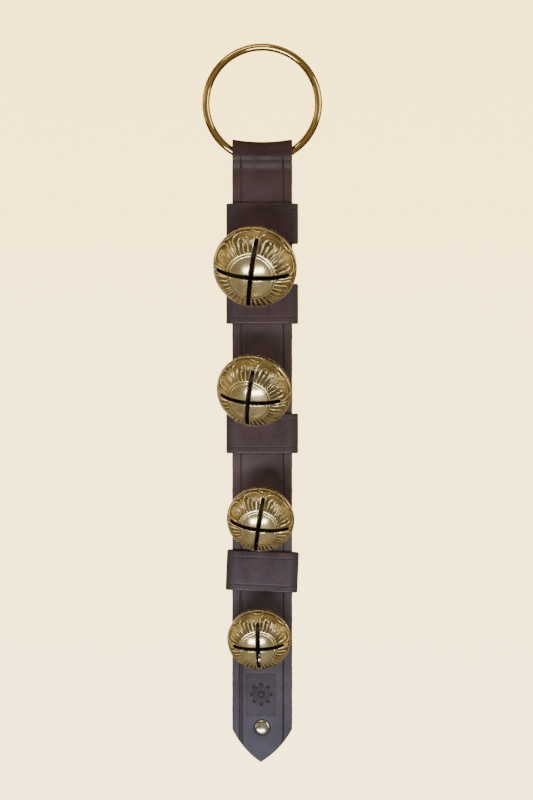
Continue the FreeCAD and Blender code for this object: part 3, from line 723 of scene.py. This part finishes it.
def make_keeper(number):
    """A leather loop round the strap, creased along its edges, butted at the back."""
    node = "keeper_%d" % number
    low, high = corners_mm(node)
    centre = (low + high) / 2
    turn = math.radians(KEEPER_TURN[number])
    box_x, box_z = high[0] - low[0], high[2] - low[2]
    flat = math.cos(turn) ** 2 - math.sin(turn) ** 2
    width = (box_x * math.cos(turn) - box_z * math.sin(turn)) / flat
    height = (box_z * math.cos(turn) - box_x * math.sin(turn)) / flat
    side = (width - KEEPER_LEATHER) / 2
    depth = (high[1] - low[1] - KEEPER_LEATHER) / 2
    corner = KEEPER_CORNER - KEEPER_LEATHER / 2
    gap = KEEPER_JOINT_GAP / 2

    path = []

    def straight(start, stop, spacing):
        start, stop = np.array(start), np.array(stop)
        length = np.linalg.norm(stop - start)
        count = max(1, round(length / spacing))
        for index in range(count):
            path.append((*(start + (stop - start) * index / count), *((stop - start) / length)))

    def bend(x, y, start):
        for index in range(10):
            angle = math.radians(start - 90 * index / 10)
            place = (x + corner * math.cos(angle), y + corner * math.sin(angle))
            path.append((*place, math.sin(angle), -math.cos(angle)))

    in_x, in_y = side - corner, depth - corner
    straight((gap, depth), (in_x, depth), 1.0)
    bend(in_x, in_y, 90)
    straight((side, in_y), (side, -in_y), 1.0)
    bend(in_x, -in_y, 0)
    straight((in_x, -depth), (-in_x, -depth), 0.9)
    bend(-in_x, -in_y, -90)
    straight((-side, -in_y), (-side, in_y), 1.0)
    bend(-in_x, in_y, 180)
    straight((-in_x, depth), (-gap, depth), 1.0)
    path.append((-gap, depth, 1.0, 0.0))

    section = strip_section(height / 2, KEEPER_LEATHER, 0.4, 0.4, 0.3 if FINE else 0.9)
    along, outward = section[:, 0], section[:, 1]
    on_face = smooth_step(outward, KEEPER_LEATHER / 2 - 0.35, KEEPER_LEATHER / 2 - 0.05)
    line = height / 2 - KEEPER_CREASE_INSET
    creased = np.maximum(bell_curve(along - line, 0.32), bell_curve(along + line, 0.32)) * on_face
    press = KEEPER_CREASE * creased
    sections = []
    travelled = 0.0
    for index, (x, y, way_x, way_y) in enumerate(path):
        if index:
            travelled += math.hypot(x - path[index - 1][0], y - path[index - 1][1])
        normal = (-way_y, way_x)
        lift = outward - press
        edge = 1 + 0.10 * ripple(travelled * 0.3, number * 1.3) / (height / 2)
        dip = KEEPER_WAVE * ripple(travelled * 0.12 + along * 0.1, number * 2.1)
        bow = max(0, 1 - (x / in_x) ** 2) if y < 0 else 0
        crown = KEEPER_CROWN * (1 - (2 * along / height) ** 2) * bow
        depths = y + normal[1] * (lift + crown) + dip * bow
        sections.append(np.stack([x + normal[0] * lift, depths, along * edge], 1))
    vertices, faces = sweep(sections)
    turned = np.array(Matrix.Rotation(turn, 3, "Y"))
    vertices = vertices @ turned.T + centre
    keeper = new_piece("keeper_loop_%d" % number, vertices, faces, keeper_leather, sharp_angle=50)
    # Painted shade: the keeper's colour darkens towards its side bends, where the loop turns away from the
    # light
    painted_bend_shades = [0.6 * smooth_step(abs(x), in_x - 4.5, in_x + 1.0) for x, *_ in path]
    tag(keeper, "groove_shade", np.concatenate([np.maximum(creased, wear_and_shade) for wear_and_shade in painted_bend_shades]))
    rims = smooth_step(np.abs(along), height / 2 - 0.7, height / 2 - 0.15)
    if number == 4:
        rims = rims * (along > 0)
    tag(keeper, "raw", np.tile(rims * KEEPER_RAW_EDGE[number], len(path)))
    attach(keeper, node)
    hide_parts(node)
    make_staples(number, centre, turned, high[1])


def make_staples(number, centre, turned, back):
    """Two round-wire staples across the butt joint, sunk level with the leather."""
    wire = 0.42
    half = 5.6
    legs = KEEPER_LEATHER - wire
    parts = []
    for sign in (-1, 1):
        route = [(-half, -legs), (-half, -0.9), (-half + 0.25, -0.25), (-half + 0.9, 0.0)]
        route += [(-x, y) for x, y in reversed(route)]
        level = sign * 6.5
        rings = []
        for index, (x, y) in enumerate(route):
            before, after = route[max(0, index - 1)], route[min(len(route) - 1, index + 1)]
            way = Vector((after[0] - before[0], after[1] - before[1])).normalized()
            turns = np.arange(12) * math.pi / 6
            sidewise = np.outer(np.cos(turns) * wire, [-way.y, way.x, 0])
            upwards = np.outer(np.sin(turns) * wire, [0, 0, 1])
            rings.append(sidewise + upwards + np.array([x, y + back - wire - centre[1] - 0.02, level]))
        parts.append(sweep(rings))
    vertices, faces = join_meshes(*parts)
    vertices = vertices @ turned.T + centre
    staples = new_piece("staple_wires_%d" % number, vertices, faces, wire_steel)
    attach(staples, "keeper_%d" % number)
    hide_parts("keeper_staples_%d" % number)


# ------------------------------------------------------------------- bells


def bell_axes(number):
    """The middle of a bell, its half width and depth, and its axes: pin, up the face, and pole."""
    roll = joints["pellet_%d_roll" % number]
    centre = np.array(roll["pos_m"]) / MM
    pole = np.array(roll["axis"])
    pole = pole / np.linalg.norm(pole)
    pin = -np.array(joints["bell_%d_nod" % number]["axis"])
    pin = pin / np.linalg.norm(pin)
    up = np.cross(pole, pin)
    reach = points_mm(frame["nodes"]["bell_%d" % number]) - centre
    radius = np.hypot(reach @ pin, reach @ up).max()
    depth = (reach @ pole).max()
    eye = np.array(joints["bell_%d_spin" % number]["pos_m"]) / MM
    shank = np.linalg.norm(centre - eye)
    return centre, radius, depth, shank, np.stack([pin, up, pole])


def line_distance(slant, rise, spread, shoulder, top, around_mm, along_mm):
    """Distance in millimetres to a petal's arch: straight legs, then a half-ellipse to its top."""
    up = np.maximum(0, rise - shoulder) / (top - shoulder)
    size = np.sqrt((slant / spread) ** 2 + up**2) + 1e-9
    across = slant / spread**2 / size / around_mm
    along = up / (top - shoulder) / size / along_mm
    return np.abs(size - 1) / np.sqrt(across**2 + along**2 + 1e-12)


# Each petal's arches: half spread in degrees, where the legs end and where the top is
ARCHES = ((9.0, 55.0, 66.0), (17.5, 62.0, 78.0))


def petal_relief(latitude, longitude, radius, depth):
    """The cast pattern: 0 in the ground, 1 on the lines. Angles are from the pole and from a slot."""
    rise = np.degrees(np.where(latitude > math.pi / 2, math.pi - latitude, latitude))
    petal_span = 45.0
    slant = (np.degrees(longitude) % petal_span) - petal_span / 2
    around_mm = np.radians(1) * radius * np.sin(latitude) + 1e-6
    along_mm = np.radians(1) * np.hypot(radius * np.cos(latitude), depth * np.sin(latitude))
    width = RELIEF_LINE * radius
    inner, outer = 31.0, 35.2
    pattern = np.zeros(np.shape(latitude))
    for ring in (inner, outer):
        pattern = np.maximum(pattern, 0.95 * bell_curve((rise - ring) * along_mm, width))
    beyond = smooth_step(rise, outer + 0.5, outer + 2.5)
    for spread, shoulder, top in ARCHES:
        distance = line_distance(slant, rise, spread, shoulder, top, around_mm, along_mm)
        pattern = np.maximum(pattern, bell_curve(distance, width) * beyond)
    middle = bell_curve(slant * around_mm, width) * beyond * (1 - smooth_step(rise, 52, 57))
    pattern = np.maximum(pattern, middle)
    bud = np.hypot(slant * around_mm, (rise - 60.5) * along_mm * 0.6)
    pattern = np.maximum(pattern, 0.9 * bell_curve(bud, width * 1.7))
    between = petal_span / 2 - np.abs(slant)
    ray = bell_curve(between * around_mm, width) * beyond * (1 - smooth_step(rise, 66, 74))
    pattern = np.maximum(pattern, ray)
    scallop = line_distance(between, 90 - rise, 11.0, 2.0, 13.0, around_mm, along_mm)
    pattern = np.maximum(pattern, 0.9 * bell_curve(scallop, width))
    rim = bell_curve((rise - 88.5) * along_mm, width * 1.2)
    pattern = np.maximum(pattern, rim)
    face = 0.55 * (1 - smooth_step(rise, inner - 1.5, inner))
    back = latitude > math.pi / 2
    return np.where(back, np.maximum(pattern, face * 0.8), np.maximum(pattern, face))


def slot_outline(number, radius, widen=0.0):
    """Both crossed slots as one outline with round ends."""
    half = SLOT_WIDTH[number] / 2 + widen
    reach = radius * SLOT_REACH[number] - half
    skew = math.radians(SLOT_SKEW[number])
    arms = (skew, math.pi / 2, math.pi + skew, math.pi * 1.5, math.pi * 2 + skew)
    outline = []
    for base, following in zip(arms, arms[1:]):
        for step in range(13):
            angle = -math.pi / 2 + math.pi * step / 12
            x = reach + half * math.cos(angle)
            y = half * math.sin(angle)
            turned = (x * math.cos(base) - y * math.sin(base), x * math.sin(base) + y * math.cos(base))
            outline.append(turned)
        corner = (base + following) / 2
        out = half / math.sin((following - base) / 2)
        outline.append((out * math.cos(corner), out * math.sin(corner)))
    return outline


def slot_edge_distance(number, x, y, radius):
    """How far a point of the face is from the nearest slot's edge."""
    half = SLOT_WIDTH[number] / 2
    reach = radius * SLOT_REACH[number] - half
    skew = math.radians(SLOT_SKEW[number])
    along = x * math.cos(skew) + y * math.sin(skew)
    beside = y * math.cos(skew) - x * math.sin(skew)
    first = np.hypot(np.maximum(0, np.abs(along) - reach), beside)
    second = np.hypot(np.maximum(0, np.abs(y) - reach), x)
    return np.minimum(first, second) - half


def make_bell(number):
    """A cast petal bell with its relief, crossed slots, collar, shank and eye."""
    centre, radius, depth, shank, axes = bell_axes(number)
    around = 480 if FINE else 240
    front_rows = 96 if FINE else 48
    back_rows = 70 if FINE else 36
    collar_latitude = math.pi - math.asin(COLLAR / radius)
    latitudes = list(np.linspace(0, math.pi / 2, front_rows, endpoint=False))
    latitudes += list(np.linspace(math.pi / 2, collar_latitude, back_rows))
    profile = [(radius * math.sin(a), depth * math.cos(a)) for a in latitudes]
    collar_base = profile[-1][1]
    for step in range(1, 7):
        amount = step / 6
        narrow = COLLAR - (COLLAR - NECK) * math.sin(amount * math.pi / 2)
        profile.append((narrow, collar_base - COLLAR_HEIGHT * amount))
    eye_join = -shank + math.sqrt(EYE**2 - NECK**2)
    neck_top = collar_base - COLLAR_HEIGHT
    for amount in (0.35, 0.7):
        profile.append((NECK, neck_top + (eye_join - neck_top) * amount))
    start = math.asin(NECK / EYE)
    for step in range(9):
        angle = start + (math.pi - start) * step / 8
        profile.append((EYE * math.sin(angle), -shank + EYE * math.cos(angle)))

    vertices, faces = lathe(profile, around)
    faces = [tuple(reversed(face)) for face in faces]
    shell_rows = len(latitudes) - 1
    shell = slice(0, shell_rows * around)
    latitude = np.repeat(latitudes[1:], around)
    longitude = np.tile(np.arange(around) * 2 * math.pi / around, shell_rows)
    turn = math.radians(SLOT_TURN[number])
    pattern = petal_relief(latitude, longitude + turn, radius, depth)
    sunk = (pattern - 0.5) * (RELIEF_HEIGHT * radius)
    x, y = vertices[shell, 0], vertices[shell, 1]
    along_slot = x * math.cos(turn) - y * math.sin(turn)
    beside_slot = x * math.sin(turn) + y * math.cos(turn)
    lip = slot_edge_distance(number, along_slot, beside_slot, radius)
    lip = np.where(latitude < math.pi / 2, lip, FAR)
    petals = smooth_step(latitude, math.radians(34), math.radians(42))
    near_slot = (1 - smooth_step(lip, 0.3, 1.6)) * petals
    sunk = sunk * (1 - near_slot * 0.6) - 0.3 * bell_curve(np.maximum(lip, 0), 0.35)
    normal = np.stack([x / radius**2, y / radius**2, vertices[shell, 2] / depth**2], 1)
    normal /= np.linalg.norm(normal, axis=1)[:, None]
    vertices[shell] += normal * sunk[:, None]

    hollow_radius, hollow_depth = radius - BELL_WALL, depth - BELL_WALL
    hollow_rows = np.linspace(0, math.pi, 40)
    hollow_profile = [(hollow_radius * math.sin(a), hollow_depth * math.cos(a)) for a in hollow_rows]
    hollow = lathe(hollow_profile, 96)
    both = join_meshes((vertices, faces), hollow)
    bell = new_piece("petal_bell_%d" % number, *both, cast_brass, smooth=False)
    values = np.ones(len(both[0]))
    values[shell] = np.clip(pattern + near_slot * 0.35, 0, 1)
    tag(bell, "relief", values)

    slots, slot_faces = prism(slot_outline(number, radius), hollow_depth * 0.04, depth + 4)
    spin = np.array(Matrix.Rotation(-turn, 3, "Z"))
    hole, hole_faces = prism(circle(EYE_HOLE, 24), -EYE - 1, EYE + 1)
    hole = hole @ np.array(Matrix.Rotation(math.pi / 2, 3, "Y")).T + np.array([0, 0, -shank])
    cut(bell, [(slots @ spin.T, slot_faces), (hole, hole_faces)])

    points = points_mm(bell)
    size = np.sqrt((points[:, 0] ** 2 + points[:, 1] ** 2) / radius**2 + points[:, 2] ** 2 / depth**2)
    wall = (1 - size) / (BELL_WALL / depth)
    # Marks the hollow and the slot walls for the painted shade inside the bell
    tag(bell, "inside", smooth_step(wall, 0.5, 1.0) * (size < 1.2))
    placed = points @ axes + centre
    bell.data.vertices.foreach_set("co", (placed * MM).ravel())
    shade(bell, 40)
    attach(bell, "bell_%d" % number)
    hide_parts("bell_%d" % number, "bell_shank_%d" % number)


def make_pellet(number):
    """The steel ball, a little scuffed and flattened by its striking."""
    node = "pellet_%d" % number
    low, high = corners_mm(node)
    centre, radius = (low + high) / 2, (high[2] - low[2]) / 2
    rows = 40
    profile = []
    for step in range(rows + 1):
        angle = math.pi * step / rows
        dent = 1 - 0.004 * (1 + math.sin(7 * angle))
        profile.append((radius * dent * math.sin(angle), radius * dent * math.cos(angle)))
    vertices, faces = lathe(profile, 56)
    faces = [tuple(reversed(face)) for face in faces]
    ball = new_piece("steel_ball_%d" % number, vertices + centre, faces, bright_steel)
    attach(ball, node)
    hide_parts(node)


# ------------------------------------------------------------------- rivet


def turned_piece(name, profile, node, material, place, body):
    """A lathe-turned piece whose axis points towards the viewer."""
    vertices, faces = lathe(profile, 64)
    faces = [tuple(reversed(face)) for face in faces]
    forward = np.array([[1, 0, 0], [0, 0, 1], [0, -1, 0]])
    piece = new_piece(name, vertices @ forward + place, faces, material, sharp_angle=50)
    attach(piece, body)
    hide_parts(node)


def make_rivet():
    """The domed cap in front and the post with its flat head behind."""
    low, high = corners_mm("tip_rivet_cap")
    radius, height = (high[0] - low[0]) / 2, high[1] - low[1]
    middle = (low[2] + high[2]) / 2
    rim = 0.5
    profile = [(0, height)]
    steps = 18
    for step in range(1, steps + 1):
        angle = math.pi / 2 * step / steps
        profile.append((radius * 0.985 * math.sin(angle), rim + (height - rim) * math.cos(angle)))
    profile += [(radius, rim * 0.75), (radius, rim * 0.3), (radius - 0.15, 0.02), (0, 0.02)]
    place = np.array([0, high[1], middle])
    turned_piece("rivet_dome", profile, "tip_rivet_cap", rivet_brass, place, "strap")
    low, high = corners_mm("tip_rivet_post")
    radius, length = (high[0] - low[0]) / 2, high[1] - low[1]
    flange = 1.0
    profile = [(0, length), (1.35, length), (1.6, length - 0.25), (1.6, flange + 0.2), (1.8, flange)]
    profile += [(radius - 0.3, flange), (radius, flange - 0.25), (radius, 0.35), (radius - 0.3, 0.1)]
    profile += [(radius * 0.55, 0.0), (radius * 0.42, 0.12), (0, 0.2)]
    place = np.array([0, high[1], middle])
    turned_piece("rivet_post", profile, "tip_rivet_post", rivet_brass, place, "strap")


# ------------------------------------------------------- stage and lighting


def area_light(name, place, aim, size, power, colour):
    light = bpy.data.lights.new(name, "AREA")
    light.shape = "RECTANGLE"
    light.size, light.size_y = size
    light.energy = power
    light.color = colour
    lamp = bpy.data.objects.new(name, light)
    lamp.location = place
    lamp.rotation_euler = (Vector(aim) - Vector(place)).to_track_quat("-Z", "Y").to_euler()
    bpy.context.scene.collection.objects.link(lamp)


# From the viewer's side (0) to behind the object (1), and from underneath (0) to overhead (1)
ROOM_WALLS = (
    (0.0, (0.26, 0.25, 0.23)),
    (0.20, (0.36, 0.34, 0.28)),
    (0.33, (1.50, 1.25, 0.78)),
    (0.52, (2.20, 1.80, 1.05)),
    (0.66, (0.80, 0.60, 0.34)),
    (0.80, (0.30, 0.24, 0.17)),
    (1.0, (0.28, 0.24, 0.19)),
)
ROOM_LEVELS = (
    (0.0, (0.7, 0.7, 0.7)),
    (0.24, (0.6, 0.6, 0.6)),
    (0.30, (1.3, 1.3, 1.3)),
    (0.40, (1.2, 1.2, 1.2)),
    (0.44, (0.6, 0.58, 0.55)),
    (0.54, (0.7, 0.68, 0.64)),
    (0.58, (1.2, 1.15, 1.05)),
    (0.66, (1.0, 0.95, 0.85)),
    (0.70, (0.28, 0.26, 0.23)),
    (0.86, (0.22, 0.20, 0.18)),
    (1.0, (0.5, 0.48, 0.45)),
)


# The wall that the viewer sees, at the foot of the picture and at its top
BACKDROP_LOW = (5.0, 4.0, 2.1)
BACKDROP_HIGH = (5.2, 3.7, 1.2)
BACKDROP_REACH = 0.13


def make_world():
    """A plain room: bright warm walls to the sides and behind, dim in front and overhead."""
    world = bpy.data.worlds.new("studio")
    bpy.context.scene.world = world
    world.use_nodes = True
    nodes, links = world.node_tree.nodes, world.node_tree.links
    background = nodes["Background"]
    coordinates = nodes.new("ShaderNodeTexCoord")
    parts = nodes.new("ShaderNodeSeparateXYZ")
    links.new(coordinates.outputs["Generated"], parts.inputs["Vector"])

    def shades(axis, stops):
        """Colours from one end of an axis (0) to the other (1)."""
        spread = nodes.new("ShaderNodeMapRange")
        spread.inputs["From Min"].default_value = -1.0
        links.new(parts.outputs[axis], spread.inputs["Value"])
        ramp = nodes.new("ShaderNodeValToRGB")
        elements = ramp.color_ramp.elements
        while len(elements) < len(stops):
            elements.new(0.5)
        for element, (position, colour) in zip(elements, stops):
            element.position = position
            element.color = (*colour, 1)
        links.new(spread.outputs["Result"], ramp.inputs["Fac"])
        return ramp.outputs["Color"]

    walls = shades("Y", ROOM_WALLS)
    levels = shades("Z", ROOM_LEVELS)
    blend = nodes.new("ShaderNodeMix")
    blend.data_type = "RGBA"
    blend.blend_type = "MULTIPLY"
    blend.inputs[0].default_value = 1.0
    links.new(walls, blend.inputs[6])
    links.new(levels, blend.inputs[7])
    seen = nodes.new("ShaderNodeMix")
    seen.data_type = "RGBA"
    path = nodes.new("ShaderNodeLightPath")
    links.new(path.outputs["Is Camera Ray"], seen.inputs[0])
    links.new(blend.outputs[2], seen.inputs[6])
    rise = nodes.new("ShaderNodeMapRange")
    rise.inputs["From Min"].default_value = -BACKDROP_REACH
    rise.inputs["From Max"].default_value = BACKDROP_REACH
    links.new(parts.outputs["Z"], rise.inputs["Value"])
    backdrop = nodes.new("ShaderNodeMix")
    backdrop.data_type = "RGBA"
    backdrop.inputs[6].default_value = (*BACKDROP_LOW, 1)
    backdrop.inputs[7].default_value = (*BACKDROP_HIGH, 1)
    links.new(rise.outputs["Result"], backdrop.inputs[0])
    links.new(backdrop.outputs[2], seen.inputs[7])
    links.new(seen.outputs[2], background.inputs["Color"])
    background.inputs["Strength"].default_value = 1.0


FLOOR_TONE = (1.0, 0.86, 0.64)
FLOOR_GLOW = 2.6
FLOOR_RADIUS = 9500
FLOOR_BELOW = 1.5


def make_stage():
    """A cloudy pale floor far below the hanging object, darker in front of it than behind."""
    paint = Paint("pale_floor")
    clouds = paint.ramp(paint.noise(2.2, 2), (0.38, (0.44, 0.42, 0.37)), (0.62, (0.95, 0.93, 0.87)))
    parts = paint.add("ShaderNodeSeparateXYZ")
    paint.link(paint.place(), parts.inputs["Vector"])
    behind = paint.ramp(parts.outputs["Y"], (0.0, (0.52, 0.52, 0.52)), (0.7, (1.0, 1.0, 1.0)))
    tone = paint.mix(1.0, clouds, behind, "MULTIPLY")
    seen = paint.scalar("MULTIPLY", paint.add("ShaderNodeLightPath").outputs["Is Camera Ray"], FLOOR_GLOW)
    material = paint.set(Base_Color=tone, Roughness=0.8, Emission_Color=FLOOR_TONE, Emission_Strength=seen)
    drop = (cad_low[2] - FLOOR_BELOW) / MM
    corners = [(x, y, drop) for x, y in circle(FLOOR_RADIUS, 128)]
    floor = new_piece("floor", corners, [tuple(range(len(corners)))], material, smooth=False)


CAMERA_DISTANCE = 2.0
CAMERA_RIGHT = 0.0027
CAMERA_UP = 0.0015
VIEW_MARGIN = 1.1143


def make_camera():
    """Square on to the strap, as far back as makes the bells' perspective right."""
    view_height = (cad_high[2] - cad_low[2]) * VIEW_MARGIN
    camera = bpy.data.cameras.new("camera")
    camera.sensor_width = 36
    camera.lens = camera.sensor_width * CAMERA_DISTANCE / view_height
    camera.clip_start = 0.05
    holder = bpy.data.objects.new("camera", camera)
    middle = (cad_high[2] + cad_low[2]) / 2
    holder.location = (CAMERA_RIGHT, -CAMERA_DISTANCE, middle + CAMERA_UP)
    holder.rotation_euler = (math.pi / 2, 0, 0)
    bpy.context.scene.collection.objects.link(holder)
    bpy.context.scene.camera = holder


# -------------------------------------------------------------- everything

make_camera()
make_world()
make_stage()
target = (0, 0, (cad_low[2] + cad_high[2]) / 2)
area_light("low_window", (-0.45, -2.4, -1.48), target, (1.9, 0.45), 52, (0.90, 0.94, 1.0))
area_light("right_window", (1.6, -1.3, 0.3), target, (0.5, 1.2), 9, (0.94, 0.97, 1.0))
area_light("top_window", (-0.5, -1.5, 1.5), target, (1.4, 0.35), 7, (1.0, 0.97, 0.92))
area_light("back_window", (-0.6, 2.6, 0.2), target, (3.2, 3.2), 16, (1.0, 0.93, 0.82))

make_ring()
make_strap()
for bell_number in BELLS:
    make_keeper(bell_number)
    make_bell(bell_number)
    make_pellet(bell_number)
    for plain_node, metal in (("shank_pin_%d", wire_steel), ("shank_washer_%d", washer_brass)):
        materials = frame["nodes"][plain_node % bell_number].data.materials
        materials.clear()
        materials.append(metal)
make_rivet()

bpy.context.view_layer.update()
